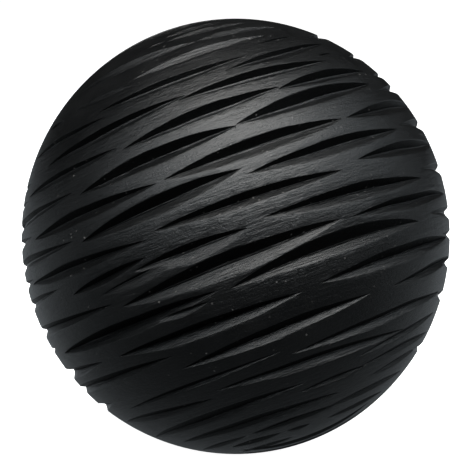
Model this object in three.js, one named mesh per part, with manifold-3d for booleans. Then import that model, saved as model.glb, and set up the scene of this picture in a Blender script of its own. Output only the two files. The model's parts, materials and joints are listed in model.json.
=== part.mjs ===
// Case opening friction ball: a hollow ball of tacky rubber that grips a screwed watch case back.
// An air-tight bladder fills the grip cover, a grommet neck joins the two, and a stopper closes it.
// Millimetres, +Z up, origin at the ball's centre, valve at the back on +Y.

import * as THREE from 'three';
import { mergeVertices } from 'three/addons/utils/BufferGeometryUtils.js';
import Module from 'manifold-3d';

const wasm = await Module();
wasm.setup();

// ---- driving dimensions -------------------------------------------------------------------------

const BALL_RADIUS = 32.5;        // across the ball
const TALLNESS = 1.017;          // the ball stands a little taller than it is wide
const COVER_WALL = 4;
const BLADDER_WALL = 1.2;
const BOND_GAP = 0.3;            // cement line between two bonded pieces
const COVER_FACETS = 5;          // subdivisions of the icosahedron behind each skin
const LINING_FACETS = 4;

const RIM_PLANE = 31.7;          // the neck's flat outer rim, just below the crown of the ball
const RIM_RADIUS = 6;
const RIM_THICKNESS = 1.8;
const NECK_RADIUS = 3.5;
const NECK_BORE = 1.8;
const HEAD_SEAT_RADIUS = 3.5;    // recess in the rim that the stopper's head sits in
const HEAD_SEAT_DEPTH = 1.6;
const NAIL_NOTCH_WIDTH = 2.4;    // notch beside the head for a fingernail
const NAIL_NOTCH_REACH = 5;
const FLANGE_RADIUS = 7;
const FLANGE_THICKNESS = 1.2;
const FLANGE_OUTER_PLANE = 24.6; // the flange's outer face, against the patch
const PATCH_RADIUS = 9;
const PATCH_THICKNESS = 0.8;
const PATCH_STEPS = 4;           // straight steps across the dished ring
const FACET_ROOM = 0.15;         // the bladder's flat facets dip this far inside its round

const STOPPER_HEAD_RADIUS = 3.2;
const STOPPER_HEAD_THICKNESS = 1;
const STOPPER_SUNK = 0.3;        // head below the rim
const STOPPER_STEM_RADIUS = 1.65;
const STOPPER_STEM_LENGTH = 6.5;
const STOPPER_TIP_CHAMFER = 0.5;
const ROUND_SIDES = 32;

// ---- the carved cuts ----------------------------------------------------------------------------
// Every cut is a long lens with a V section, laid along a circle of latitude about a leaning axis.
// Angles are degrees on the ball's surface. Longitude 0 faces the front.

const CARVING_AXIS = new THREE.Vector3(-0.339, 0.194, 0.921).normalize();
const CUT_SPILL = 0.012;         // the cutter stands this far out of the ball, over its radius
const STATION_STEP = 14;         // degrees of arc between the cutter's sections

// [first longitude, last longitude, latitude at the first, at the last, width above, width below,
//  and, where the cut bows, how far its middle rises above the straight line]
const FRONT_CUTS = [
  [-38, 34, 72, 72, 1.5, 1.5],
  [0, 40, 66.2, 65.4, 2, 0.8],
  [-12, 0, 63, 63, 0.8, 0.8],
  [1, 47, 62.2, 59.8, 2.2, 0.8],
  [-50, 13, 55.4, 56, 3.4, 0.8],
  [13, 54, 56, 52.5, 2.2, 0.8, 0.4],
  [-66, -53, 46, 46, 1, 1],
  [-45, -17, 47.5, 46.5, 1.2, 1.6],
  [-17, 40, 49, 49.2, 2.7, 0.8],
  [33, 50, 46, 46, 0.8, 0.8],
  [-32, 25, 42, 42.5, 1.8, 1.4],
  [15, 60, 39.5, 40.5, 1.6, 1.7],
  [-70, -28, 38.5, 39.5, 1.3, 1.2],
  [-108, -69, 31.5, 31.3, 1, 1],
  [-108, -69, 26.8, 26.5, 1, 1],
  [-55, 0.5, 33, 36, 1.9, 1.6],
  [-3, 50, 35, 33.5, 2.4, 1.2],
  [50, 57, 36, 36, 0.5, 0.5],
  [66, 108, 34, 36, 1.4, 1.4],
  [-68, -24, 27.5, 28.5, 1.3, 1.2],
  [-22, 27, 27.3, 29, 2.6, 1],
  [26, 64, 28.5, 28, 2.3, 1.4],
  [68, 108, 26.4, 27.3, 1.3, 1.3],
  [-104, -41, 20.6, 22, 1.5, 1.5],
  [-38, 10, 20.5, 22.2, 2.8, 1.7],
  [10, 60, 22.5, 23.5, 3, 1.8],
  [62, 110, 21.2, 22.5, 1.6, 1.6],
  [-62, -14.5, 15.2, 15.2, 1.8, 1.8],
  [-12.5, 39, 15.3, 15.5, 2.4, 2.4],
  [40.5, 84, 15.5, 16, 2, 1.8],
  [-102, -43, 11.4, 10, 1.6, 1.6],
  [-108, -64, 17, 16.3, 1.4, 1.4],
  [-40, 7, 8.8, 11.2, 2.4, 2.5],
  [8, 58, 9.4, 9.4, 1.9, 2.2],
  [60, 110, 10.5, 9.5, 1.6, 1.6],
  [-70, -21, 5, 3, 1.4, 1.8],
  [-19, 32, 4.3, 3, 1.8, 1.6],
  [37.5, 80, 4.4, 4.2, 1.8, 2],
  [-108, -68, 6.5, 6, 1.2, 1.2],
  [-108, -55, 0.5, 0.7, 1.3, 1.3],
  [-49, -23, -2.3, -0.8, 1.2, 1.2],
  [-39.5, -8, -5.2, -2.8, 0.5, 2.3],
  [-27, 3.5, -2.9, -2.9, 1.4, 3],
  [8, 60, -1.8, -4.2, 1.8, 2.4],
  [62, 110, -1.8, -3.3, 1.6, 1.6],
  [-106, -37, -6.2, -8.2, 1.4, 1.6],
  [-106, -74, -12, -12, 0.9, 0.9],
  [-34.5, 27, -9.8, -8.2, 2.4, 3.4],
  [30, 76, -8.5, -9, 1.4, 2.1],
  [-69, -8.5, -14.5, -14.5, 1.6, 2.6],
  [-30, -12, -15.9, -16.3, 0.6, 1.3],
  [-5.5, 54, -15.2, -14.6, 2.9, 2.4, 1.3],
  [61, 108, -13.3, -14.3, 1.6, 1.8],
  [58, 108, 44.3, 47, 1.5, 1.5],
  [70, 108, -19.3, -20.5, 1.3, 1.3],
  [68, 108, -26.8, -27.5, 1.3, 1.3],
  [-108, -52, -19.2, -20.6, 1.5, 1.6],
  [-44.5, 11.5, -21, -22, 1.2, 2.8],
  [17, 74, -21.5, -20.3, 2, 2.4],
  [-104, -28, -24.7, -26, 1.5, 1.7],
  [41, 84, -28.6, -25.5, 1.2, 1.6],
  [-28, 32, -30.3, -28.5, 1.8, 2.2],
  [-108, -66, -32, -32, 1.4, 1.6],
  [-60, 1, -35.6, -35.4, 0.7, 1.1],
  [4.5, 72, -37.2, -34.3, 1.1, 2.4],
  [-76, -26, -39, -41.8, 1.2, 1.6],
  [-23, 50, -39.8, -42, 1.2, 2.6],
  [28, 74, -45.5, -40, 1, 1.4],
  [-76, 6, -47.4, -46.9, 1.4, 1.6],
  [3, 33, -50.3, -49.3, 0.9, 1.6],
  [30, 76, -49, -45.7, 1.2, 1.6],
  [-64, 22, -52.8, -55.3, 1, 1.8],
  [37, 70, -54, -50, 1, 1.5],
  [-70, -30, -60, -60.5, 0.9, 1.3],
  [-28, 22, -60.4, -61, 0.9, 1.7],
  [15, 68, -61, -57, 1.1, 1.8],
  [-50, -14, -64, -65.5, 1, 1.8],
  [-11, 5, -65.8, -66.5, 0.6, 1.2],
  [17, 62, -67, -63.5, 0.8, 1.8],
  [66, 108, -35, -36.5, 1.3, 1.3],
  [64, 106, -50, -51, 1.2, 1.2],
  [-60, -10, -69.5, -71.5, 1, 1.6],
];

// The rows go on round the back, where their cuts follow one another at an even pitch.
const BACK_ROWS = 21;
const BACK_ROW_PITCH = 6.3;
const BACK_EDGES = [108, 252];   // longitudes where the front's cuts have ended
const MIDDLE_ROWS = 33;          // beyond this latitude they end sooner
const OUTER_BACK_EDGES = [100, 274];
const BACK_CUT_LENGTH = 50;      // degrees of arc
const BACK_CUT_WIDTHS = [1.9, 2.3];
const BACK_CUT_SIZES = [0.8, 1.15];   // smallest and largest share of those widths
const BACK_CUT_TILT = 1.2;       // most rise or fall from one end to the other
const BACK_CUT_STRAY = 4;        // how far an end can lie from its even place
const BACK_CUT_APART = 2;        // bare rubber left between two cuts of a row
const BACK_CUT_SHORTEST = 1 / 3; // shorter pieces of an even share are left out
const BACK_SEED = 7;
const VALVE_LAND = 16;           // plain rubber round the neck, degrees of arc from its axis

// The knife came in from the front, a little from above, so a cut's valley lies straight behind its
// mouth as seen from there. Round the back it was held square to the ball.
const KNIFE_ELEVATION = 8;
const LEAST_FACING = 0.1;        // surface that faces the knife less than this counts as the back
const MOST_LEAN = 1.3;           // greatest shift of the valley, over the depth
const UPPER_WALL_TURN = 28;      // degrees that an upper wall faces below the knife's line
const UPPER_SLOPES = [50, 68];   // gentlest and steepest upper wall, from the ball's surface
const LOWER_SLOPE = 48;          // steepest lower wall
const TOP_ROWS = 46.5;           // from this latitude up the cuts are shallow slices
const TOP_SLOPE = 24;            // upper wall of a slice
const LOW_ROWS = -33;            // from this latitude down the lower walls are gentler
const LOW_SLOPE = 41;
const DEEPEST = 2.4;             // degrees of arc
const WIDEST_OVER_DEPTH = 1.6;   // least width of a cut, over its depth
const LEAST_REACH = 0.1;         // least width of a wall with its lean, over the depth
const SWELL_POWER = 0.8;         // how fully a cut opens towards its middle
const SWELL_AT_END = 0.01;       // what is left of a cut's width at its two ends

// Straight, parallel cuts run on over the two poles of the carving axis: [offset, half length].
const POLE_CUTS = [[-19, 15], [-13, 20], [-7, 23], [0, 25], [7, 24], [13, 19]];

const deg = THREE.MathUtils.degToRad;

// Seeded random numbers from 0 to 1.
function randomFrom(seed) {
  let state = seed;
  return () => {
    state = (state + 0x6d2b79f5) | 0;
    let mix = Math.imul(state ^ (state >>> 15), 1 | state);
    mix = (mix + Math.imul(mix ^ (mix >>> 7), 61 | mix)) ^ mix;
    return ((mix ^ (mix >>> 14)) >>> 0) / 2 ** 32;
  };
}

// An axis with the two directions across it: longitude 0 and longitude 90.
function axisFrame(pole, front) {
  const zero = front.clone().addScaledVector(pole, -front.dot(pole)).normalize();
  return { pole, zero, ninety: new THREE.Vector3().crossVectors(pole, zero) };
}

const KNIFE = new THREE.Vector3(0, -Math.cos(deg(KNIFE_ELEVATION)), Math.sin(deg(KNIFE_ELEVATION)));
const BAND = axisFrame(CARVING_AXIS, KNIFE);

function direction(frame, latitude, longitude) {
  const across = Math.cos(deg(latitude));
  return frame.pole.clone().multiplyScalar(Math.sin(deg(latitude)))
    .addScaledVector(frame.zero, across * Math.cos(deg(longitude)))
    .addScaledVector(frame.ninety, across * Math.sin(deg(longitude)));
}

// The even row of cuts between two longitudes, with a hand's unevenness.
function rowOfCuts(row, latitude, start, end, random) {
  const stretch = 1 / Math.cos(deg(latitude));
  const count = Math.max(1, Math.round((end - start) / (BACK_CUT_LENGTH * stretch)));
  const share = (end - start) / count;
  const shift = count > 1 ? (row % 2) * share * 0.5 : 0;
  const cuts = [];
  for (let piece = 0; piece <= count; piece += 1) {
    const even = start + piece * share - shift;
    const from = Math.max(start, even - BACK_CUT_STRAY * random());
    const to = Math.min(end, even + share - BACK_CUT_APART + BACK_CUT_STRAY * random());
    const size = THREE.MathUtils.lerp(...BACK_CUT_SIZES, random());
    const tilt = BACK_CUT_TILT * (2 * random() - 1);
    const widths = BACK_CUT_WIDTHS.map((width) => width * size);
    if (to - from > share * BACK_CUT_SHORTEST) cuts.push([from, to, latitude, latitude + tilt, ...widths]);
  }
  return cuts;
}

function backCuts() {
  const random = randomFrom(BACK_SEED);
  const valve = new THREE.Vector3(0, 1, 0);
  const valveLatitude = 90 - THREE.MathUtils.radToDeg(valve.angleTo(BAND.pole));
  const cuts = [];
  for (let row = 0; row < BACK_ROWS; row += 1) {
    const latitude = (row - (BACK_ROWS - 1) / 2) * BACK_ROW_PITCH;
    const [first, last] = Math.abs(latitude) < MIDDLE_ROWS ? BACK_EDGES : OUTER_BACK_EDGES;
    const clear = VALVE_LAND ** 2 - (latitude - valveLatitude) ** 2;
    const halfGap = Math.sqrt(Math.max(clear, 0)) / Math.cos(deg(latitude));
    const spans = halfGap > 0 ? [[first, 180 - halfGap], [180 + halfGap, last]] : [[first, last]];
    for (const [start, end] of spans) cuts.push(...rowOfCuts(row, latitude, start, end, random));
  }
  return cuts;
}

// How far the knife's line runs down the ball's surface for each unit of depth.
function leanAt(frame, latitude, longitude) {
  const facing = direction(frame, latitude, longitude).dot(KNIFE);
  if (facing < LEAST_FACING) return 0;
  const rise = direction(frame, latitude + 90, longitude).dot(KNIFE);
  return THREE.MathUtils.clamp(-rise / facing, -MOST_LEAN, MOST_LEAN);
}

// Least widths of the upper and lower walls over the depth, where the knife leans by slant.
function leastWidths(latitude, slant) {
  const turn = THREE.MathUtils.radToDeg(Math.atan(slant)) + UPPER_WALL_TURN;
  const upper = latitude > TOP_ROWS ? TOP_SLOPE : THREE.MathUtils.clamp(turn, ...UPPER_SLOPES);
  const lower = latitude < LOW_ROWS ? LOW_SLOPE : LOWER_SLOPE;
  return [1 / Math.tan(deg(upper)), 1 / Math.tan(deg(lower))];
}

// A cut's full depth in degrees of arc: as deep as its walls' slopes allow.
function depthOf(frame, [from, to, latitudeFrom, latitudeTo, above, below]) {
  const latitude = (latitudeFrom + latitudeTo) / 2;
  const slant = leanAt(frame, latitude, (from + to) / 2);
  const [leastUp, leastLow] = leastWidths(latitude, slant);
  return Math.min(
    above / Math.max(leastUp + slant, LEAST_REACH),
    below / Math.max(leastLow - slant, LEAST_REACH),
    DEEPEST,
    (above + below) / WIDEST_OVER_DEPTH,
  );
}

// A cutter: a long wedge whose V section sinks into the ball between its two ends.
function cutter(frame, cut) {
  const [from, to, latitudeFrom, latitudeTo, above, below, bow = 0] = cut;
  const vertices = [];
  const triangles = [];
  const place = (latitude, longitude, radius) => {
    vertices.push(...direction(frame, latitude, longitude).multiplyScalar(radius).toArray());
  };
  const fullDepth = depthOf(frame, cut);
  const arc = (to - from) * Math.cos(deg(latitudeFrom));
  const stations = Math.max(2, Math.round(arc / STATION_STEP));
  for (let station = 0; station <= stations; station += 1) {
    const along = station / stations;
    const swell = Math.max(Math.sin(Math.PI * along), SWELL_AT_END) ** SWELL_POWER;
    const depth = fullDepth * swell;
    const longitude = THREE.MathUtils.lerp(from, to, along);
    const mouth = THREE.MathUtils.lerp(latitudeFrom, latitudeTo, along) + bow * swell;
    const slant = leanAt(frame, mouth, longitude);
    const valley = mouth + slant * depth;
    const [leastUp, leastLow] = leastWidths(mouth, slant);
    const spill = 1 + CUT_SPILL / deg(fullDepth);
    const up = Math.max(above * swell - slant * depth, leastUp * depth) * spill;
    const low = Math.max(below * swell + slant * depth, leastLow * depth) * spill;
    place(valley, longitude, 1 - deg(depth));
    place(valley + up, longitude, 1 + CUT_SPILL * swell);
    place(valley - low, longitude, 1 + CUT_SPILL * swell);
  }
  const last = 3 * stations;
  triangles.push(0, 2, 1, last, last + 1, last + 2);
  for (let ring = 0; ring < last; ring += 3) {
    for (let corner = 0; corner < 3; corner += 1) {
      const next = (corner + 1) % 3;
      triangles.push(ring + corner, ring + next, ring + 3 + corner);
      triangles.push(ring + next, ring + 3 + next, ring + 3 + corner);
    }
  }
  const geometry = new THREE.BufferGeometry();
  geometry.setAttribute('position', new THREE.Float32BufferAttribute(vertices, 3));
  geometry.setIndex(triangles);
  geometry.scale(BALL_RADIUS, BALL_RADIUS, BALL_RADIUS * TALLNESS);
  return geometry;
}

// ---- closed solids ------------------------------------------------------------------------------

function solid(geometry) {
  geometry.deleteAttribute('normal');
  geometry.deleteAttribute('uv');
  const merged = mergeVertices(geometry, 1e-4);
  return new wasm.Manifold(new wasm.Mesh({
    numProp: 3,
    vertProperties: new Float32Array(merged.attributes.position.array),
    triVerts: new Uint32Array(merged.index.array),
  }));
}

function geometryOf(manifold) {
  const { vertProperties, triVerts } = manifold.getMesh();
  const geometry = new THREE.BufferGeometry();
  geometry.setAttribute('position', new THREE.BufferAttribute(vertProperties, 3));
  geometry.setIndex(new THREE.BufferAttribute(triVerts, 1));
  geometry.computeVertexNormals();
  return geometry;
}

// The biggest of a solid's bodies: crumbs of rubber left between two cuts fall away.
function largest(manifold) {
  return manifold.decompose().reduce((kept, body) => (body.volume() > kept.volume() ? body : kept));
}

function ballSolid(radius, facets) {
  const geometry = new THREE.IcosahedronGeometry(radius, facets);
  geometry.scale(1, 1, TALLNESS);
  return solid(geometry);
}

// A round piece about the valve's axis, from outline points [radius, distance from the centre].
function turned(outline) {
  return new THREE.LatheGeometry(outline.map(([r, y]) => new THREE.Vector2(r, y)), ROUND_SIDES);
}

function rod(radius, from, to) {
  return turned([[0, from], [radius, from], [radius, to], [0, to]]);
}

const coverInside = BALL_RADIUS - COVER_WALL;
const bladderOutside = coverInside - BOND_GAP;
const bladderInside = bladderOutside - BLADDER_WALL;
const neckHole = NECK_RADIUS + BOND_GAP;

function gripCover() {
  const rimSeat = rod(RIM_RADIUS + BOND_GAP, RIM_PLANE - RIM_THICKNESS - BOND_GAP, 2 * BALL_RADIUS);
  let cover = ballSolid(BALL_RADIUS, COVER_FACETS)
    .subtract(ballSolid(coverInside, LINING_FACETS))
    .subtract(solid(rod(neckHole, 0, BALL_RADIUS)))
    .subtract(solid(rimSeat));
  for (const cut of [...FRONT_CUTS, ...backCuts()]) {
    cover = cover.subtract(solid(cutter(BAND, cut)));
  }
  for (const side of [1, -1]) {
    const polar = axisFrame(BAND.zero.clone(), BAND.pole.clone().multiplyScalar(side));
    for (const [offset, half] of POLE_CUTS) {
      cover = cover.subtract(solid(cutter(polar, [-half, half, offset, offset, ...BACK_CUT_WIDTHS])));
    }
  }
  return geometryOf(largest(cover));
}

function bladder() {
  return geometryOf(ballSolid(bladderOutside, LINING_FACETS)
    .subtract(ballSolid(bladderInside, LINING_FACETS))
    .subtract(solid(rod(neckHole, 0, BALL_RADIUS))));
}

// A dished ring that backs the bladder where the neck goes through it.
function neckPatch() {
  const outside = bladderInside - BOND_GAP - FACET_ROOM;
  const inside = outside - PATCH_THICKNESS;
  const arc = (radius, from, to) => Array.from({ length: PATCH_STEPS + 1 }, (_, step) => {
    const reach = THREE.MathUtils.lerp(from, to, step / PATCH_STEPS);
    return [reach, Math.sqrt(radius ** 2 - reach ** 2)];
  });
  const outline = [...arc(inside, neckHole, PATCH_RADIUS), ...arc(outside, PATCH_RADIUS, neckHole)];
  return turned([...outline, outline[0]]);
}

function valveNeck() {
  const rimBack = RIM_PLANE - RIM_THICKNESS;
  const flangeInner = FLANGE_OUTER_PLANE - FLANGE_THICKNESS;
  const seatFloor = RIM_PLANE - HEAD_SEAT_DEPTH;
  const neck = turned([
    [NECK_BORE, flangeInner], [FLANGE_RADIUS, flangeInner],
    [FLANGE_RADIUS, FLANGE_OUTER_PLANE], [NECK_RADIUS, FLANGE_OUTER_PLANE],
    [NECK_RADIUS, rimBack], [RIM_RADIUS, rimBack], [RIM_RADIUS, RIM_PLANE],
    [HEAD_SEAT_RADIUS, RIM_PLANE], [HEAD_SEAT_RADIUS, seatFloor], [NECK_BORE, seatFloor],
    [NECK_BORE, flangeInner],
  ]);
  const notchStart = NECK_RADIUS / 2;
  const notchHeight = 2 * HEAD_SEAT_DEPTH;
  const notch = new THREE.BoxGeometry(NAIL_NOTCH_WIDTH, notchHeight, NAIL_NOTCH_REACH - notchStart);
  notch.translate(0, seatFloor + notchHeight / 2, -(NAIL_NOTCH_REACH + notchStart) / 2);
  return geometryOf(solid(neck).subtract(solid(notch)));
}

function stopper() {
  const headTop = RIM_PLANE - STOPPER_SUNK;
  const headBack = headTop - STOPPER_HEAD_THICKNESS;
  const tip = headBack - STOPPER_STEM_LENGTH;
  return turned([
    [0, tip], [STOPPER_STEM_RADIUS - STOPPER_TIP_CHAMFER, tip],
    [STOPPER_STEM_RADIUS, tip + STOPPER_TIP_CHAMFER], [STOPPER_STEM_RADIUS, headBack],
    [STOPPER_HEAD_RADIUS, headBack], [STOPPER_HEAD_RADIUS, headTop], [0, headTop],
  ]);
}

// ---- the assembly -------------------------------------------------------------------------------

const RUBBER_BLACK = new THREE.MeshStandardMaterial({ color: 0x1c1d1e, roughness: 0.55, metalness: 0 });
const BUTYL_BLACK = new THREE.MeshStandardMaterial({ color: 0x252525, roughness: 0.7, metalness: 0 });
const PATCH_BLACK = new THREE.MeshStandardMaterial({ color: 0x303030, roughness: 0.8, metalness: 0 });
const NECK_BLACK = new THREE.MeshStandardMaterial({ color: 0x202122, roughness: 0.5, metalness: 0 });
const STOPPER_GREY = new THREE.MeshStandardMaterial({ color: 0x3a3b3d, roughness: 0.45, metalness: 0 });

function named(name, geometry, material) {
  const mesh = new THREE.Mesh(geometry, material);
  mesh.name = name;
  return mesh;
}

const shell = new THREE.Group();
shell.add(
  named('grip_cover', gripCover(), RUBBER_BLACK),
  named('bladder', bladder(), BUTYL_BLACK),
);

const valve = new THREE.Group();
valve.add(
  named('neck_patch', neckPatch(), PATCH_BLACK),
  named('valve_neck', valveNeck(), NECK_BLACK),
  named('stopper', stopper(), STOPPER_GREY),
);

const ball = new THREE.Group();
ball.add(shell, valve);

export default ball;
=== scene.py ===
"""Case opening friction ball: a carved black rubber ball with a stoppered valve at its back."""

import json
import math

import bmesh
import bpy
from mathutils import Matrix, Vector, noise

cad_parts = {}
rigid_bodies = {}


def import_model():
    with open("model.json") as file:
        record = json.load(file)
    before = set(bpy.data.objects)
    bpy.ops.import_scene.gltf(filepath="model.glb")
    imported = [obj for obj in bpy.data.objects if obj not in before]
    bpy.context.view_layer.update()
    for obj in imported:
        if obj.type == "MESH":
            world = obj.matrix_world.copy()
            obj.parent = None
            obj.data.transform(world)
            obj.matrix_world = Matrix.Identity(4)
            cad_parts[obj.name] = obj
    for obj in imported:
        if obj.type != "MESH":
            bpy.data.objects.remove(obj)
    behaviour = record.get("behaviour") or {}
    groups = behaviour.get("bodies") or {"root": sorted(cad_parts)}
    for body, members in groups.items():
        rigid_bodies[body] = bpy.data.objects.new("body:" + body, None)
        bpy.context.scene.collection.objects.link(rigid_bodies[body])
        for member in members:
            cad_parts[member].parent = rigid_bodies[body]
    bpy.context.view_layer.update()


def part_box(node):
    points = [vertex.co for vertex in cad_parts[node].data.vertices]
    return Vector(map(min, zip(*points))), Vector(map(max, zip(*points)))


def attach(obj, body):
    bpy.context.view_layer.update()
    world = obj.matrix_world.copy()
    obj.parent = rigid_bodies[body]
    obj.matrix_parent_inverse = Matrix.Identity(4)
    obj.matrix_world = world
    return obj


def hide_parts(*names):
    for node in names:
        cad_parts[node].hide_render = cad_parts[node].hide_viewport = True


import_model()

MM = 0.001
scene = bpy.context.scene

# ---- sizes from the frame -----------------------------------------------------------------------

cover_low, cover_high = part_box("grip_cover")
bladder_low, bladder_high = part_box("bladder")
patch_low, patch_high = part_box("neck_patch")
neck_low, neck_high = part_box("valve_neck")
stopper_low, stopper_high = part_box("stopper")

BALL_RADIUS = -cover_low[0]
TALLNESS = cover_high[2] / BALL_RADIUS      # the ball stands a little taller than it is wide
BOND_GAP = 0.3 * MM                         # cement line between two bonded pieces
BLADDER_RADIUS = bladder_high[0]
COVER_INSIDE = BLADDER_RADIUS + BOND_GAP

# ---- the carved cuts ----------------------------------------------------------------------------
# Every cut is a long lens with a V section, laid along a circle of latitude about a leaning axis.
# Angles are degrees on the ball's surface. Longitude 0 faces the front.

CARVING_AXIS = Vector((-0.339, 0.194, 0.921)).normalized()

# [first longitude, last longitude, latitude at the first, at the last, width above, width below,
#  and, where the cut bows, how far its middle rises above the straight line]
FRONT_CUTS = [
    [-38, 34, 72, 72, 1.5, 1.5],
    [0, 40, 66.2, 65.4, 2, 0.8],
    [-12, 0, 63, 63, 0.8, 0.8],
    [1, 47, 62.2, 59.8, 2.2, 0.8],
    [-50, 13, 55.4, 56, 3.4, 0.8],
    [13, 54, 56, 52.5, 2.2, 0.8, 0.4],
    [-66, -53, 46, 46, 1, 1],
    [-45, -17, 47.5, 46.5, 1.2, 1.6],
    [-17, 40, 49, 49.2, 2.7, 0.8],
    [33, 50, 46, 46, 0.8, 0.8],
    [-32, 25, 42, 42.5, 1.8, 1.4],
    [15, 60, 39.5, 40.5, 1.6, 1.7],
    [-70, -28, 38.5, 39.5, 1.3, 1.2],
    [-108, -69, 31.5, 31.3, 1, 1],
    [-108, -69, 26.8, 26.5, 1, 1],
    [-55, 0.5, 33, 36, 1.9, 1.6],
    [-3, 50, 35, 33.5, 2.4, 1.2],
    [50, 57, 36, 36, 0.5, 0.5],
    [66, 108, 34, 36, 1.4, 1.4],
    [-68, -24, 27.5, 28.5, 1.3, 1.2],
    [-22, 27, 27.3, 29, 2.6, 1],
    [26, 64, 28.5, 28, 2.3, 1.4],
    [68, 108, 26.4, 27.3, 1.3, 1.3],
    [-104, -41, 20.6, 22, 1.5, 1.5],
    [-38, 10, 20.5, 22.2, 2.8, 1.7],
    [10, 60, 22.5, 23.5, 3, 1.8],
    [62, 110, 21.2, 22.5, 1.6, 1.6],
    [-62, -14.5, 15.2, 15.2, 1.8, 1.8],
    [-12.5, 39, 15.3, 15.5, 2.4, 2.4],
    [40.5, 84, 15.5, 16, 2, 1.8],
    [-102, -43, 11.4, 10, 1.6, 1.6],
    [-108, -64, 17, 16.3, 1.4, 1.4],
    [-40, 7, 8.8, 11.2, 2.4, 2.5],
    [8, 58, 9.4, 9.4, 1.9, 2.2],
    [60, 110, 10.5, 9.5, 1.6, 1.6],
    [-70, -21, 5, 3, 1.4, 1.8],
    [-19, 32, 4.3, 3, 1.8, 1.6],
    [37.5, 80, 4.4, 4.2, 1.8, 2],
    [-108, -68, 6.5, 6, 1.2, 1.2],
    [-108, -55, 0.5, 0.7, 1.3, 1.3],
    [-49, -23, -2.3, -0.8, 1.2, 1.2],
    [-39.5, -8, -5.2, -2.8, 0.5, 2.3],
    [-27, 3.5, -2.9, -2.9, 1.4, 3],
    [8, 60, -1.8, -4.2, 1.8, 2.4],
    [62, 110, -1.8, -3.3, 1.6, 1.6],
    [-106, -37, -6.2, -8.2, 1.4, 1.6],
    [-106, -74, -12, -12, 0.9, 0.9],
    [-34.5, 27, -9.8, -8.2, 2.4, 3.4],
    [30, 76, -8.5, -9, 1.4, 2.1],
    [-69, -8.5, -14.5, -14.5, 1.6, 2.6],
    [-30, -12, -15.9, -16.3, 0.6, 1.3],
    [-5.5, 54, -15.2, -14.6, 2.9, 2.4, 1.3],
    [61, 108, -13.3, -14.3, 1.6, 1.8],
    [58, 108, 44.3, 47, 1.5, 1.5],
    [70, 108, -19.3, -20.5, 1.3, 1.3],
    [68, 108, -26.8, -27.5, 1.3, 1.3],
    [-108, -52, -19.2, -20.6, 1.5, 1.6],
    [-44.5, 11.5, -21, -22, 1.2, 2.8],
    [17, 74, -21.5, -20.3, 2, 2.4],
    [-104, -28, -24.7, -26, 1.5, 1.7],
    [41, 84, -28.6, -25.5, 1.2, 1.6],
    [-28, 32, -30.3, -28.5, 1.8, 2.2],
    [-108, -66, -32, -32, 1.4, 1.6],
    [-60, 1, -35.6, -35.4, 0.7, 1.1],
    [4.5, 72, -37.2, -34.3, 1.1, 2.4],
    [-76, -26, -39, -41.8, 1.2, 1.6],
    [-23, 50, -39.8, -42, 1.2, 2.6],
    [28, 74, -45.5, -40, 1, 1.4],
    [-76, 6, -47.8, -47.6, 2, 1.6],
    [3, 33, -50.3, -49.3, 0.9, 1.6],
    [30, 76, -49, -45.7, 1.2, 1.6],
    [-64, 22, -53.4, -56, 1.8, 1.8],
    [37, 70, -54, -50, 1, 1.5],
    [-70, -30, -60, -60.5, 0.9, 1.3],
    [-28, 22, -60.4, -61, 0.9, 1.7],
    [15, 68, -61, -57, 1.1, 1.8],
    [-50, -14, -64, -65.5, 1, 1.8],
    [-11, 5, -65.8, -66.5, 0.6, 1.2],
    [17, 62, -67, -63.5, 0.8, 1.8],
    [66, 108, -35, -36.5, 1.3, 1.3],
    [64, 106, -50, -51, 1.2, 1.2],
    [-60, -10, -69.5, -71.5, 1, 1.6],
]

# The rows go on round the back, where their cuts follow one another at an even pitch.
BACK_ROWS = 21
BACK_ROW_PITCH = 6.3
BACK_EDGES = (108, 252)                     # longitudes where the front's cuts have ended
MIDDLE_ROWS = 33                            # beyond this latitude they end sooner
OUTER_BACK_EDGES = (100, 274)
BACK_CUT_LENGTH = 50                        # degrees of arc
BACK_CUT_WIDTHS = (1.9, 2.3)
BACK_CUT_SIZES = (0.8, 1.15)                # smallest and largest share of those widths
BACK_CUT_TILT = 1.2                         # most rise or fall from one end to the other
BACK_CUT_STRAY = 4                          # how far an end can lie from its even place
BACK_CUT_APART = 2                          # bare rubber left between two cuts of a row
BACK_CUT_SHORTEST = 1 / 3                   # shorter pieces of an even share are left out
BACK_SEED = 7
VALVE_LAND = 16                             # plain rubber round the neck, degrees of arc

# Straight, parallel cuts run on over the two poles of the carving axis: (offset, half length).
POLE_CUTS = ((-19, 15), (-13, 20), (-7, 23), (0, 25), (7, 24), (13, 19))

# The knife came in from the front, a little from above, so a cut's valley lies straight behind its
# mouth as seen from there. Round the back it was held square to the ball.
KNIFE_ELEVATION = math.radians(8)
KNIFE = Vector((0, -math.cos(KNIFE_ELEVATION), math.sin(KNIFE_ELEVATION)))
UPPER_WALL_TURN = 28                        # degrees that an upper wall faces below the knife's line
UPPER_SLOPES = (50, 68)                     # gentlest and steepest upper wall, from the ball's surface
LOWER_SLOPE = 48                            # steepest lower wall
TOP_ROWS = 46.5                             # from this latitude up the cuts are shallow slices
TOP_SLOPE = 24                              # upper wall of a slice
LOW_ROWS = -33                              # from this latitude down the lower walls are gentler
LOW_SLOPE = 41
MOST_LEAN = 1.3                             # greatest shift of the valley, over the depth
FULL_LEAN_FACING = 0.1                      # surface that faces the knife this much has all its lean
NO_LEAN_FACING = -0.35                      # surface turned this far away from the knife has none
DEEPEST = 2.4                               # degrees of arc
WIDEST_OVER_DEPTH = 1.6                     # least width of a cut, over its depth

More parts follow.
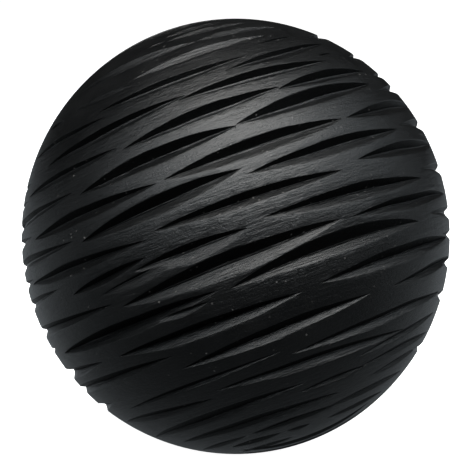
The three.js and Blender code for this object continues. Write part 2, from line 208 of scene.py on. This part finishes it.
SLICED, PAINTED_SHADE = 1, 2                         # the walls' places in the cover's materials, after the skin; the second is the darker material of painted shade
PAINTED_SHADE_WALL = (3, 4, 5)                       # sides of the wedge's section that make the upper wall, given the darker painted-shade material
SPILL = 0.01                                # how far the cutter stands out of the ball, over its radius
STATION_STEP = 1.0                          # degrees of arc between the cutter's sections
FEWEST_STEPS = 10                           # steps between sections on the shortest cut
SWELL_POWER = 0.8                           # how fully a cut opens towards its middle
SWELL_AT_END = 0.01                         # what is left of a cut's width at its two ends
LEAST_REACH = 0.1                           # least width of a wall with its lean, over the depth
FLARE = 0.3                                 # the cutter's spread above the ball, over a wall's width

# The hand's wobble along a cut.
WAVER_PACE = 0.08                           # steps through the noise for each degree of arc
MOUTH_WAVER = 0.3                           # degrees that the line of the cut strays
UPPER_WAVER = 0.12                          # share by which the width above that line varies
LOWER_WAVER = 0.16                          # share by which the width below it varies
CUTS_APART = 3.7                            # steps through the noise from one cut to the next
KINDS_APART = 11.3                          # and from one kind of wobble to the next


def seeded(seed):
    """Numbers from 0 to 1, the same ones each run."""
    whole = 0xFFFFFFFF
    state = seed
    while True:
        state = (state + 0x6D2B79F5) & whole
        mix = ((state ^ (state >> 15)) * (1 | state)) & whole
        mix = (mix + (((mix ^ (mix >> 7)) * (61 | mix)) & whole)) & whole ^ mix
        yield ((mix ^ (mix >> 14)) & whole) / (whole + 1)


def axis_frame(pole, front):
    """An axis with the two directions across it: longitude 0 and longitude 90."""
    zero = (front - pole * front.dot(pole)).normalized()
    return pole, zero, pole.cross(zero)


BAND = axis_frame(CARVING_AXIS, KNIFE)


def direction(axes, latitude, longitude):
    lat, lon = math.radians(latitude), math.radians(longitude)
    pole, zero, ninety = axes
    return pole * math.sin(lat) + (zero * math.cos(lon) + ninety * math.sin(lon)) * math.cos(lat)


def row_of_cuts(row, latitude, start, end, random):
    """The even row of cuts between two longitudes, with a hand's unevenness."""
    stretch = 1 / math.cos(math.radians(latitude))
    count = max(1, math.floor((end - start) / (BACK_CUT_LENGTH * stretch) + 0.5))
    share = (end - start) / count
    shift = (row % 2) * share * 0.5 if count > 1 else 0
    smallest, largest = BACK_CUT_SIZES
    for piece in range(count + 1):
        even = start + piece * share - shift
        first = max(start, even - BACK_CUT_STRAY * next(random))
        last = min(end, even + share - BACK_CUT_APART + BACK_CUT_STRAY * next(random))
        size = smallest + (largest - smallest) * next(random)
        tilt = BACK_CUT_TILT * (2 * next(random) - 1)
        widths = [width * size for width in BACK_CUT_WIDTHS]
        if last - first > share * BACK_CUT_SHORTEST:
            yield [first, last, latitude, latitude + tilt, *widths]


def back_cuts():
    random = seeded(BACK_SEED)
    valve_latitude = 90 - math.degrees(Vector((0, 1, 0)).angle(CARVING_AXIS))
    cuts = []
    for row in range(BACK_ROWS):
        latitude = (row - (BACK_ROWS - 1) / 2) * BACK_ROW_PITCH
        first, last = BACK_EDGES if abs(latitude) < MIDDLE_ROWS else OUTER_BACK_EDGES
        clear = max(VALVE_LAND ** 2 - (latitude - valve_latitude) ** 2, 0)
        half_gap = math.sqrt(clear) / math.cos(math.radians(latitude))
        spans = [(first, 180 - half_gap), (180 + half_gap, last)] if half_gap else [(first, last)]
        for start, end in spans:
            cuts += row_of_cuts(row, latitude, start, end, random)
    return cuts


def pole_cuts():
    """(axes, cut) for the straight cuts over the carving axis's two ends."""
    pole, zero, _ = BAND
    for side in (1, -1):
        axes = axis_frame(zero, pole * side)
        for offset, half in POLE_CUTS:
            yield axes, [-half, half, offset, offset, *BACK_CUT_WIDTHS]


def all_cuts():
    """(axes, cut) for every cut on the ball, each with its bow as the last of seven values."""
    listed = [(BAND, cut) for cut in FRONT_CUTS + back_cuts()] + list(pole_cuts())
    return [(axes, [*cut, 0][:7]) for axes, cut in listed]


# ---- meshes -------------------------------------------------------------------------------------

ON_AXIS = 1e-9                              # a point nearer to the axis than this lies on it
ROUND_SIDES = 96
MOST_EASED = 0.45                           # most of a side that one rounded corner takes up


def mesh_object(name, vertices, faces):
    mesh = bpy.data.meshes.new(name)
    mesh.from_pydata([tuple(v) for v in vertices], [], faces)
    mesh.update()
    made = bpy.data.objects.new(name, mesh)
    scene.collection.objects.link(made)
    return made


def waver(along, number, kind):
    """A slow hand wobble from -1 to 1, different for each cut."""
    return noise.noise(Vector((along, number * CUTS_APART, kind * KINDS_APART)))


def lean(axes, latitude, longitude):
    """How far the knife's line runs down the ball's surface for each unit of depth.

    The lean dies away little by little round the back, so that no cut has a step in it."""
    facing = direction(axes, latitude, longitude).dot(KNIFE)
    up = direction(axes, latitude + 90, longitude)
    slant = -up.dot(KNIFE) / max(facing, FULL_LEAN_FACING)
    share = (facing - NO_LEAN_FACING) / (FULL_LEAN_FACING - NO_LEAN_FACING)
    return max(0, min(1, share)) * max(-MOST_LEAN, min(MOST_LEAN, slant))


def slopes(latitude, slant):
    """Least widths of the upper and lower walls over the depth, where the knife leans by slant."""
    turn = math.degrees(math.atan(slant)) + UPPER_WALL_TURN
    steep = max(UPPER_SLOPES[0], min(UPPER_SLOPES[1], turn))
    if latitude > TOP_ROWS:
        steep = TOP_SLOPE
    gentle = LOW_SLOPE if latitude < LOW_ROWS else LOWER_SLOPE
    return 1 / math.tan(math.radians(steep)), 1 / math.tan(math.radians(gentle))


def depth_of(axes, cut):
    """The cut's full depth in degrees of arc: as deep as its walls' slopes allow."""
    first, last, latitude_first, latitude_last, above, below, _ = cut
    latitude = (latitude_first + latitude_last) / 2
    slant = lean(axes, latitude, (first + last) / 2)
    least_up, least_low = slopes(latitude, slant)
    depth = above / max(least_up + slant, LEAST_REACH)
    depth = min(depth, below / max(least_low - slant, LEAST_REACH))
    return min(depth, DEEPEST, (above + below) / WIDEST_OVER_DEPTH)


def section(number, slow, depth, above, below):
    """Points (degrees above the valley, depth below the surface over the radius) of one section.

    The upper wall is one steep face. The lower wall was cut in passes: a thin ridge runs beside the
    valley, and a crease lies half way up. All of them come and go along the cut."""
    ridge = (1 + waver(slow * 2, number, 4)) / 2
    crease = waver(slow, number, 5)
    bulge = 0.05 * waver(slow, number, 6)
    # Each point is a share of its wall's width and a share of the cut's depth.
    points = (
        (1.12, 0.0),
        (1.04, 0.02),
        (0.97, 0.10),
        (0.52, 0.55 + bulge),
        (0.04, 0.99),
        (0.0, 1.0),
        (-0.08, 0.95 - 0.22 * ridge),
        (-0.13, 0.95 - 0.20 * ridge),
        (-0.22, 0.93 - 0.04 * ridge),
        (-0.50, 0.60 + 0.07 * crease),
        (-0.86, 0.17),
        (-0.99, 0.05),
        (-1.13, 0.0),
    )
    placed = [((above if s > 0 else below) * s, math.radians(depth) * d) for s, d in points]
    placed.insert(0, (placed[0][0] + above * FLARE, -SPILL))
    placed.append((placed[-1][0] - below * FLARE, -SPILL))
    return placed


def cut_ring(axes, cut, number, arc, along):
    """The cutter's section at one place, given as a share of the way along its cut."""
    first, last, latitude_first, latitude_last, above, below, bow = cut
    swell = max(math.sin(math.pi * along), SWELL_AT_END) ** SWELL_POWER
    slow = arc * along * WAVER_PACE
    longitude = first + (last - first) * along
    mouth = latitude_first + (latitude_last - latitude_first) * along
    mouth += swell * (bow + MOUTH_WAVER * waver(slow, number, 1))
    depth = depth_of(axes, cut) * swell
    shift = lean(axes, mouth, longitude) * depth
    least_up, least_low = slopes(mouth, shift / depth)
    upper = above * swell * (1 + UPPER_WAVER * waver(slow, number, 2)) - shift
    lower = below * swell * (1 + LOWER_WAVER * waver(slow, number, 3)) + shift
    ring = section(number, slow, depth, max(upper, least_up * depth), max(lower, least_low * depth))
    return [direction(axes, mouth + shift + degrees, longitude) * (1 - sunk) for degrees, sunk in ring]


def cutter_faces(steps, size, painted_shade):
    """Faces of a tube of sections, closed at both ends, and each face's material; the sides in the last
    argument get the darker material of painted shade.
    """
    faces, walls = [], []
    for step in range(steps):
        base = step * size
        for corner in range(size):
            after = (corner + 1) % size
            faces.append((base + corner, base + size + corner, base + size + after, base + after))
            walls.append(PAINTED_SHADE if corner in painted_shade else SLICED)
    faces.append(tuple(range(size)))
    faces.append(tuple(steps * size + corner for corner in range(size))[::-1])
    return faces, walls + [SLICED, SLICED]


def cutter(axes, cut, number):
    """Vertices, faces and each face's material of the wedge that one cut takes out of the ball."""
    first, last, latitude_first = cut[:3]
    arc = (last - first) * math.cos(math.radians(latitude_first))
    steps = max(FEWEST_STEPS, round(arc / STATION_STEP))
    rings = [cut_ring(axes, cut, number, arc, step / steps) for step in range(steps + 1)]
    # Below the top rows the upper walls get the darker material of painted shade.
    painted_shade = PAINTED_SHADE_WALL if latitude_first < TOP_ROWS else ()
    faces, walls = cutter_faces(steps, len(rings[0]), painted_shade)
    return [point for ring in rings for point in ring], faces, walls


def scaled(point):
    return (point[0] * BALL_RADIUS, point[1] * BALL_RADIUS, point[2] * BALL_RADIUS * TALLNESS)


def cutters_collection(materials):
    """One closed wedge for each cut, all in one collection, with the materials that it leaves."""
    kept = bpy.data.collections.new("cutters")
    for number, (axes, cut) in enumerate(all_cuts()):
        vertices, faces, walls = cutter(axes, cut, number)
        wedge = mesh_object(f"cutter_{number}", [scaled(v) for v in vertices], faces)
        for material in materials:
            wedge.data.materials.append(material)
        wedge.data.polygons.foreach_set("material_index", walls)
        scene.collection.objects.unlink(wedge)
        kept.objects.link(wedge)
    scene.collection.children.link(kept)
    return kept


def ball_object(name, radius, subdivisions):
    """A round skin of equal small triangles, as tall as the ball."""
    shape = bmesh.new()
    bmesh.ops.create_icosphere(shape, subdivisions=subdivisions, radius=radius)
    bmesh.ops.scale(shape, vec=(1, 1, TALLNESS), verts=shape.verts)
    mesh = bpy.data.meshes.new(name)
    shape.to_mesh(mesh)
    shape.free()
    made = bpy.data.objects.new(name, mesh)
    scene.collection.objects.link(made)
    return made


def cut_with(piece, tools):
    """Takes each object of a collection out of a closed piece."""
    modifier = piece.modifiers.new("cut", "BOOLEAN")
    modifier.solver = "MANIFOLD"
    modifier.operation = "DIFFERENCE"
    modifier.operand_type = "COLLECTION"
    modifier.collection = tools
    depsgraph = bpy.context.evaluated_depsgraph_get()
    result = bpy.data.meshes.new_from_object(piece.evaluated_get(depsgraph))
    piece.modifiers.clear()
    piece.data = result
    for tool in list(tools.objects):
        bpy.data.objects.remove(tool)
    bpy.data.collections.remove(tools)


def as_tools(*objects):
    kept = bpy.data.collections.new("tools")
    for tool in objects:
        scene.collection.objects.unlink(tool)
        kept.objects.link(tool)
    scene.collection.children.link(kept)
    return kept


def turned(name, outline, sides=ROUND_SIDES):
    """A closed round piece about the valve's axis, from outline points (radius, distance out)."""
    vertices, faces = [], []
    on_axis = [abs(r) < ON_AXIS for r, _ in outline]
    starts = []
    for (r, y), axial in zip(outline, on_axis):
        starts.append(len(vertices))
        turns = 1 if axial else sides
        for turn in range(turns):
            angle = 2 * math.pi * turn / sides
            vertices.append((r * math.sin(angle), y, r * math.cos(angle)))
    closed = not (on_axis[0] and on_axis[-1])
    for here in range(len(outline) - (0 if closed else 1)):
        there = (here + 1) % len(outline)
        for turn in range(sides):
            after = (turn + 1) % sides
            a = starts[here] + (0 if on_axis[here] else turn)
            b = starts[here] + (0 if on_axis[here] else after)
            c = starts[there] + (0 if on_axis[there] else after)
            d = starts[there] + (0 if on_axis[there] else turn)
            corners = list(dict.fromkeys((a, b, c, d)))
            if len(corners) > 2:
                faces.append(tuple(corners))
    made = mesh_object(name, vertices, faces)
    outward(made.data)
    return made


def block(name, low, high):
    """A closed box between two opposite corners."""
    ends = (low, high)
    vertices = [(ends[x][0], ends[y][1], ends[z][2]) for x in (0, 1) for y in (0, 1) for z in (0, 1)]
    sides = [(0, 1, 3, 2), (4, 6, 7, 5), (0, 4, 5, 1), (2, 3, 7, 6), (0, 2, 6, 4), (1, 5, 7, 3)]
    made = mesh_object(name, vertices, sides)
    outward(made.data)
    return made


def outward(mesh):
    """Turns every face of a closed mesh outwards."""
    shape = bmesh.new()
    shape.from_mesh(mesh)
    bmesh.ops.recalc_face_normals(shape, faces=shape.faces)
    if shape.calc_volume(signed=True) < 0:
        bmesh.ops.reverse_faces(shape, faces=shape.faces)
    shape.to_mesh(mesh)
    shape.free()


def eased(outline, radius, steps=4):
    """The outline with each corner off the axis rounded, as a moulded rubber edge is."""
    rounded = []
    count = len(outline)
    for place, (r, y) in enumerate(outline):
        before, after = Vector(outline[place - 1]), Vector(outline[(place + 1) % count])
        corner = Vector((r, y))
        if r < ON_AXIS:
            rounded.append((r, y))
            continue
        into, away = before - corner, after - corner
        cut = min(radius, into.length * MOST_EASED, away.length * MOST_EASED)
        first, last = corner + into.normalized() * cut, corner + away.normalized() * cut
        for step in range(steps + 1):
            share = step / steps
            point = first.lerp(corner, share).lerp(corner.lerp(last, share), share)
            rounded.append((point.x, point.y))
    return rounded


def smooth_by_angle(piece, degrees):
    piece.data.shade_smooth()
    piece.data.set_sharp_from_angle(angle=math.radians(degrees))


# ---- materials ----------------------------------------------------------------------------------

SKIN_SPECULAR = 0.35
# The upper walls' low shine is part of their painted shade.
PAINTED_SHADE_SPECULAR = 0.08
MOULDED_SPECULAR = 0.25
DUST_DRIFT = (0.12, 0.12, 0.12)             # patches of thicker dust, in cells for each millimetre
DUST_EDGE = 0.4                             # a speck is full strength out to this share of its size


class Graph:
    """A material's node tree, with short calls for the nodes used here."""

    def __init__(self, name):
        self.material = bpy.data.materials.new(name)
        self.material.use_nodes = True
        self.nodes = self.material.node_tree.nodes
        self.links = self.material.node_tree.links
        self.shader = self.nodes["Principled BSDF"]
        self.place = self.nodes.new("ShaderNodeTexCoord").outputs["Object"]

    def put(self, value, socket):
        if isinstance(value, bpy.types.NodeSocket):
            self.links.new(value, socket)
        else:
            socket.default_value = value

    def stretched(self, scale, axes=None):
        """Object coordinates, in millimetres, turned to the carving axis and stretched."""
        turn = self.nodes.new("ShaderNodeMapping")
        turn.vector_type = "TEXTURE"
        if axes:
            pole, zero, ninety = axes
            turn.inputs["Rotation"].default_value = Matrix((zero, ninety, pole)).transposed().to_euler()
        self.put(self.place, turn.inputs["Vector"])
        size = self.nodes.new("ShaderNodeVectorMath")
        size.operation = "MULTIPLY"
        self.put(turn.outputs[0], size.inputs[0])
        size.inputs[1].default_value = [1000 * s for s in scale]
        return size.outputs[0]

    def noise(self, vector, detail=4.0, roughness=0.55):
        node = self.nodes.new("ShaderNodeTexNoise")
        self.put(vector, node.inputs["Vector"])
        node.inputs["Scale"].default_value = 1
        node.inputs["Detail"].default_value = detail
        node.inputs["Roughness"].default_value = roughness
        return node.outputs["Fac"]

    def cells(self, vector):
        node = self.nodes.new("ShaderNodeTexVoronoi")
        self.put(vector, node.inputs["Vector"])
        node.inputs["Scale"].default_value = 1
        return node.outputs["Distance"]

    def ramp(self, value, low, high, to_low=0.0, to_high=1.0):
        node = self.nodes.new("ShaderNodeMapRange")
        self.put(value, node.inputs["Value"])
        node.inputs["From Min"].default_value = low
        node.inputs["From Max"].default_value = high
        node.inputs["To Min"].default_value = to_low
        node.inputs["To Max"].default_value = to_high
        return node.outputs[0]

    def maths(self, operation, first, second):
        node = self.nodes.new("ShaderNodeMath")
        node.operation = operation
        self.put(first, node.inputs[0])
        self.put(second, node.inputs[1])
        return node.outputs[0]

    def blend(self, share, first, second):
        node = self.nodes.new("ShaderNodeMix")
        node.data_type = "RGBA"
        self.put(share, node.inputs[0])
        self.put(first, node.inputs[6])
        self.put(second, node.inputs[7])
        return node.outputs[2]

    def bump(self, height, distance, strength=1.0, under=None):
        node = self.nodes.new("ShaderNodeBump")
        self.put(height, node.inputs["Height"])
        node.inputs["Distance"].default_value = distance
        node.inputs["Strength"].default_value = strength
        if under:
            self.put(under, node.inputs["Normal"])
        return node.outputs[0]

    def finish(self, colour, roughness, normal, specular):
        self.put(colour, self.shader.inputs["Base Color"])
        self.put(roughness, self.shader.inputs["Roughness"])
        self.put(normal, self.shader.inputs["Normal"])
        self.shader.inputs["Specular IOR Level"].default_value = specular
        return self.material


def grey(value, warm=0.0):
    return (value * (1 + warm), value, value * (1 - warm), 1)


DUST = grey(0.16, 0.04)


def dust(g, colour, spacing, size, share):
    """Adds pale specks to a colour: one in each cell of the spacing, where the dust lies thick."""
    here = g.ramp(g.noise(g.stretched(DUST_DRIFT), detail=3), 0.42, 0.6)
    per_mm = 1 / spacing
    reach = size * per_mm
    specks = g.ramp(g.cells(g.stretched((per_mm,) * 3)), reach, reach * DUST_EDGE)
    return g.blend(g.maths("MULTIPLY", g.maths("MULTIPLY", specks, here), share), colour, DUST)


def skin_rubber():
    """The uncut skin: satin black, with a leathery grain, rubbed patches and specks of dust."""
    g = Graph("cover_skin_rubber")
    grain = g.noise(g.stretched((2.6, 2.6, 3.2), BAND), detail=6, roughness=0.7)
    patches = g.noise(g.stretched((0.22, 0.22, 0.22)), detail=3)
    streaks = g.noise(g.stretched((0.25, 0.25, 2.4), BAND), detail=5)
    colour = g.blend(g.ramp(patches, 0.35, 0.7), grey(0.0014, -0.08), grey(0.0026, -0.04))
    colour = dust(g, colour, spacing=1.6, size=0.17, share=0.6)
    uneven = g.ramp(patches, 0.3, 0.7, to_low=0.35, to_high=0.40)
    roughness = g.maths("ADD", uneven, g.ramp(grain, 0.3, 0.7, to_low=-0.05, to_high=0.05))
    rough = g.bump(streaks, 0.16 * MM, strength=0.6)
    fine = g.bump(grain, 0.11 * MM, strength=0.8, under=rough)
    return g.finish(colour, roughness, fine, SKIN_SPECULAR)


def sliced_rubber():
    """The lower walls, where the blade lay flat: drag lines along the cut, and dust."""
    g = Graph("cover_sliced_rubber")
    drag = g.noise(g.stretched((0.22, 0.22, 3.4), BAND), detail=5)
    tears = g.noise(g.stretched((1.6, 1.6, 5.0), BAND), detail=6, roughness=0.7)
    colour = g.blend(g.ramp(drag, 0.35, 0.7), grey(0.0010, -0.08), grey(0.0026, -0.04))
    colour = dust(g, colour, spacing=1.4, size=0.18, share=0.6)
    roughness = g.ramp(drag, 0.3, 0.7, to_low=0.30, to_high=0.40)
    rough = g.bump(tears, 0.12 * MM, strength=0.8)
    fine = g.bump(drag, 0.22 * MM, strength=0.8, under=rough)
    return g.finish(colour, roughness, fine, SKIN_SPECULAR)


def painted_shade_rubber():
    """The steep upper walls, as painted shade: darker and duller than the skin, with a crumbly texture.
    """
    g = Graph("cover_torn_rubber")
    crumbs = g.noise(g.stretched((2.2, 2.2, 3.4), BAND), detail=7, roughness=0.75)
    # Painted shade: the base colour is kept far darker than the skin's.
    colour = g.blend(g.ramp(crumbs, 0.4, 0.7), grey(0.0003, -0.08), grey(0.0016, -0.04))
    colour = dust(g, colour, spacing=1.3, size=0.18, share=0.7)
    roughness = g.ramp(crumbs, 0.3, 0.7, to_low=0.5, to_high=0.4)
    return g.finish(colour, roughness, g.bump(crumbs, 0.2 * MM, strength=0.7), PAINTED_SHADE_SPECULAR)


def plain_rubber(name, value, roughness, grain_per_mm):
    """Moulded rubber of the inner pieces and the valve: a matt grain with a faint bloom."""
    g = Graph(name)
    grain = g.noise(g.stretched((grain_per_mm,) * 3), detail=5)
    bloom = g.noise(g.stretched((0.5, 0.5, 0.5)), detail=4)
    colour = g.blend(g.ramp(bloom, 0.35, 0.75), grey(value, -0.03), grey(value * 1.7, 0.02))
    dull = g.ramp(bloom, 0.3, 0.7, to_low=roughness, to_high=roughness + 0.1)
    return g.finish(colour, dull, g.bump(grain, 0.02 * MM, strength=0.5), MOULDED_SPECULAR)


# ---- the pieces ---------------------------------------------------------------------------------

RIM_PLANE = neck_high[1]
RIM_RADIUS = 6 * MM
RIM_THICKNESS = 1.8 * MM
RIM_SEAT = 0.3 * MM                         # room round the rim and behind it, in the cover
NECK_RADIUS = 3.5 * MM
NECK_BORE = 1.8 * MM
HEAD_SEAT_RADIUS = 3.5 * MM
HEAD_SEAT_DEPTH = 1.6 * MM
FLANGE_RADIUS = 7 * MM
FLANGE_THICKNESS = 1.2 * MM
NAIL_NOTCH_WIDTH = 2.4 * MM
NAIL_NOTCH_REACH = 5 * MM
HEAD_RADIUS = stopper_high[0]
HEAD_THICKNESS = 1 * MM
HEAD_DISH_DEPTH = 0.3 * MM                  # shallow dish in the stopper's head
HEAD_DISH_SHARES = (0.55, 0.72)             # its flat floor and its edge, over the head's radius
STEM_RADIUS = 1.65 * MM
TIP_CHAMFER = 0.5 * MM
BLADDER_WALL = 1.2 * MM
PATCH_RADIUS = 9 * MM
PATCH_THICKNESS = 0.8 * MM
PATCH_STEPS = 8                             # straight steps across the dished ring
FACET_ROOM = 0.15 * MM                      # the bladder's flat facets dip this far inside its round
DRILL_START = 20 * MM                       # drills about the valve's axis begin well inside the ball
DRILL_END = 40 * MM                         # and end well outside it
NECK_EASE = 0.25 * MM                       # rounding of the neck's moulded edges
STOPPER_EASE = 0.2 * MM
COVER_CREASE = 22                           # degrees at which an edge of the cover stays sharp
BLADDER_CREASE = 30
MOULDED_CREASE = 40
COVER_SUBDIVISIONS = 6
LINING_SUBDIVISIONS = 5


def drill(name, radius, low, high):
    """A round drill about the valve's axis."""
    return turned(name, [(0, low), (radius, low), (radius, high), (0, high)])


def build_cover():
    piece = ball_object("cover", BALL_RADIUS, COVER_SUBDIVISIONS)
    cavity = ball_object("cavity", COVER_INSIDE, LINING_SUBDIVISIONS)
    neck_hole = drill("neck_hole", NECK_RADIUS + RIM_SEAT, DRILL_START, DRILL_END)
    seat = drill("seat", RIM_RADIUS + RIM_SEAT, RIM_PLANE - RIM_THICKNESS - RIM_SEAT, DRILL_END)
    materials = (skin_rubber(), sliced_rubber(), painted_shade_rubber())
    for material in materials:
        piece.data.materials.append(material)
    cut_with(piece, as_tools(cavity, neck_hole, seat))
    cut_with(piece, cutters_collection(materials))
    smooth_by_angle(piece, COVER_CREASE)
    return piece


cover = build_cover()
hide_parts("grip_cover")
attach(cover, "ball")


def build_bladder():
    piece = ball_object("bladder_skin", BLADDER_RADIUS, LINING_SUBDIVISIONS)
    inside = ball_object("inside", BLADDER_RADIUS - BLADDER_WALL, LINING_SUBDIVISIONS)
    hole = drill("hole", NECK_RADIUS + RIM_SEAT, DRILL_START, DRILL_END)
    cut_with(piece, as_tools(inside, hole))
    piece.data.materials.clear()
    piece.data.materials.append(plain_rubber("bladder_rubber", 0.012, 0.6, 6))
    smooth_by_angle(piece, BLADDER_CREASE)
    return piece


bladder = build_bladder()
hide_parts("bladder")
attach(bladder, "ball")


def build_patch():
    outer = BLADDER_RADIUS - BLADDER_WALL - BOND_GAP - FACET_ROOM
    inner = outer - PATCH_THICKNESS
    hole = NECK_RADIUS + RIM_SEAT
    radii = [hole + (PATCH_RADIUS - hole) * step / PATCH_STEPS for step in range(PATCH_STEPS + 1)]
    outline = [(r, math.sqrt(outer ** 2 - r ** 2)) for r in radii]
    outline += [(r, math.sqrt(inner ** 2 - r ** 2)) for r in reversed(radii)]
    piece = turned("neck_patch_skin", outline)
    piece.data.materials.append(plain_rubber("patch_rubber", 0.016, 0.65, 4))
    smooth_by_angle(piece, MOULDED_CREASE)
    return piece


patch = build_patch()
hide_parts("neck_patch")
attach(patch, "ball")


def build_neck():
    flange_inner = neck_low[1]
    flange_outer = flange_inner + FLANGE_THICKNESS
    rim_back = RIM_PLANE - RIM_THICKNESS
    seat_floor = RIM_PLANE - HEAD_SEAT_DEPTH
    outline = [
        (NECK_BORE, flange_inner),
        (FLANGE_RADIUS, flange_inner),
        (FLANGE_RADIUS, flange_outer),
        (NECK_RADIUS, flange_outer),
        (NECK_RADIUS, rim_back),
        (RIM_RADIUS, rim_back),
        (RIM_RADIUS, RIM_PLANE),
        (HEAD_SEAT_RADIUS, RIM_PLANE),
        (HEAD_SEAT_RADIUS, seat_floor),
        (NECK_BORE, seat_floor),
    ]
    piece = turned("valve_neck_moulding", eased(outline, NECK_EASE))
    half = NAIL_NOTCH_WIDTH / 2
    notch = block("notch", (-half, seat_floor, -NAIL_NOTCH_REACH), (half, DRILL_END, -NECK_RADIUS / 2))
    cut_with(piece, as_tools(notch))
    piece.data.materials.clear()
    piece.data.materials.append(plain_rubber("neck_rubber", 0.014, 0.42, 7))
    smooth_by_angle(piece, MOULDED_CREASE)
    return piece


neck = build_neck()
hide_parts("valve_neck")
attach(neck, "ball")


def build_stopper():
    top = stopper_high[1]
    back = top - HEAD_THICKNESS
    tip = stopper_low[1]
    dish_floor, dish_edge = HEAD_DISH_SHARES
    outline = [
        (0, top - HEAD_DISH_DEPTH),
        (HEAD_RADIUS * dish_floor, top - HEAD_DISH_DEPTH),
        (HEAD_RADIUS * dish_edge, top),
        (HEAD_RADIUS, top),
        (HEAD_RADIUS, back),
        (STEM_RADIUS, back),
        (STEM_RADIUS, tip + TIP_CHAMFER),
        (STEM_RADIUS - TIP_CHAMFER, tip),
        (0, tip),
    ]
    piece = turned("stopper_plug", eased(outline, STOPPER_EASE))
    piece.data.materials.append(plain_rubber("stopper_rubber", 0.03, 0.4, 7))
    smooth_by_angle(piece, MOULDED_CREASE)
    return piece


stopper = build_stopper()
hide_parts("stopper")
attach(stopper, "stopper")

# ---- the studio ---------------------------------------------------------------------------------

FLOOR_SIZE = 40
FLOOR_GLOW = 0.45                           # radiance that the ball sees well behind it
FLOOR_GLOW_SPAN = (-3, 1.5)                 # from no glow to full glow, front to back, over the radius
FLOOR_GLOW_CURVE = 1.5
COOL = (0.90, 0.99, 1.05, 1)                # tint of the room's light
KEY_TINT = (1.0, 0.99, 0.96)
ROOM_GLOW = 0.01
PAPER_TO_BALL = grey(0.01)
PAPER_TO_CAMERA = grey(0.9)
LIGHT_DISTANCE = 1.0
# (name, azimuth from the front, elevation, half angle, radiance)
SOFTBOXES = (
    ("key", 3, 62, 21, 14.0),
    ("left", -45, 38, 20, 3.2),
    ("right", 45, 38, 20, 2.0),
    ("front", 0, 36, 18, 3.0),
    ("side", 90, 35, 20, 1.6),
    ("high_right", 60, 65, 20, 1.4),
)
CAMERA_ELEVATION = 8
CAMERA_DISTANCE = 10 * BALL_RADIUS
CAMERA_FOCAL = 161.9                        # millimetres
CAMERA_SHIFT = (0.2 * MM, -0.09 * MM)
CAMERA_NEAR_CLIP = 0.01


def camera_ray(nodes):
    return nodes.new("ShaderNodeLightPath").outputs["Is Camera Ray"]


def build_floor():
    """White paper to the camera; to the ball it is dim in front and brighter behind."""
    low = -FLOOR_SIZE / 2
    level = -BALL_RADIUS * TALLNESS
    corners = [(low, low, level), (-low, low, level), (-low, -low, level), (low, -low, level)]
    floor = mesh_object("floor", corners, [(0, 1, 2, 3)])
    g = Graph("floor_paper")
    away = g.nodes.new("ShaderNodeSeparateXYZ")
    g.put(g.place, away.inputs[0])
    near, far = (BALL_RADIUS * edge for edge in FLOOR_GLOW_SPAN)
    rise = g.maths("POWER", g.ramp(away.outputs["Y"], near, far), FLOOR_GLOW_CURVE)
    glow = g.maths("MULTIPLY", rise, FLOOR_GLOW)
    ray = camera_ray(g.nodes)
    g.put(g.blend(ray, PAPER_TO_BALL, PAPER_TO_CAMERA), g.shader.inputs["Base Color"])
    g.shader.inputs["Roughness"].default_value = 1
    g.shader.inputs["Specular IOR Level"].default_value = 0
    g.put(g.blend(ray, COOL, (1, 1, 1, 1)), g.shader.inputs["Emission Color"])
    g.put(g.maths("MAXIMUM", ray, glow), g.shader.inputs["Emission Strength"])
    floor.data.materials.append(g.material)


def build_world():
    world = bpy.data.worlds.new("studio")
    world.use_nodes = True
    nodes, links = world.node_tree.nodes, world.node_tree.links
    ray = camera_ray(nodes)
    strength = nodes.new("ShaderNodeMapRange")
    strength.inputs["To Min"].default_value = ROOM_GLOW
    strength.inputs["To Max"].default_value = 1.0
    links.new(ray, strength.inputs["Value"])
    back = nodes["Background"]
    back.inputs["Color"].default_value = (1, 1, 1, 1)
    links.new(strength.outputs[0], back.inputs["Strength"])
    scene.world = world


def aim(thing, target):
    thing.rotation_euler = (target - thing.location).to_track_quat("-Z", "Y").to_euler()


def soft_light(name, azimuth, elevation, spread, radiance):
    """A round softbox that takes up twice its spread in degrees, as seen from the ball."""
    radius = LIGHT_DISTANCE * math.tan(math.radians(spread))
    data = bpy.data.lights.new(name, "AREA")
    data.shape = "DISK"
    data.size = 2 * radius
    data.energy = radiance * math.pi * math.pi * radius ** 2
    data.color = KEY_TINT if name == "key" else COOL[:3]
    light = bpy.data.objects.new(name, data)
    scene.collection.objects.link(light)
    flat = math.cos(math.radians(elevation))
    turn = math.radians(azimuth)
    way = Vector((math.sin(turn) * flat, -math.cos(turn) * flat, math.sin(math.radians(elevation))))
    light.location = way * LIGHT_DISTANCE
    aim(light, Vector((0, 0, 0)))


def build_camera():
    data = bpy.data.cameras.new("camera")
    data.lens = CAMERA_FOCAL
    data.clip_start = CAMERA_NEAR_CLIP
    camera = bpy.data.objects.new("camera", data)
    scene.collection.objects.link(camera)
    lift = math.radians(CAMERA_ELEVATION)
    offset = Vector((CAMERA_SHIFT[0], 0, CAMERA_SHIFT[1]))
    camera.location = Vector((0, -math.cos(lift), math.sin(lift))) * CAMERA_DISTANCE + offset
    aim(camera, offset)
    scene.camera = camera


build_floor()
build_world()
for softbox in SOFTBOXES:
    soft_light(*softbox)
build_camera()
scene.view_settings.view_transform = "Standard"
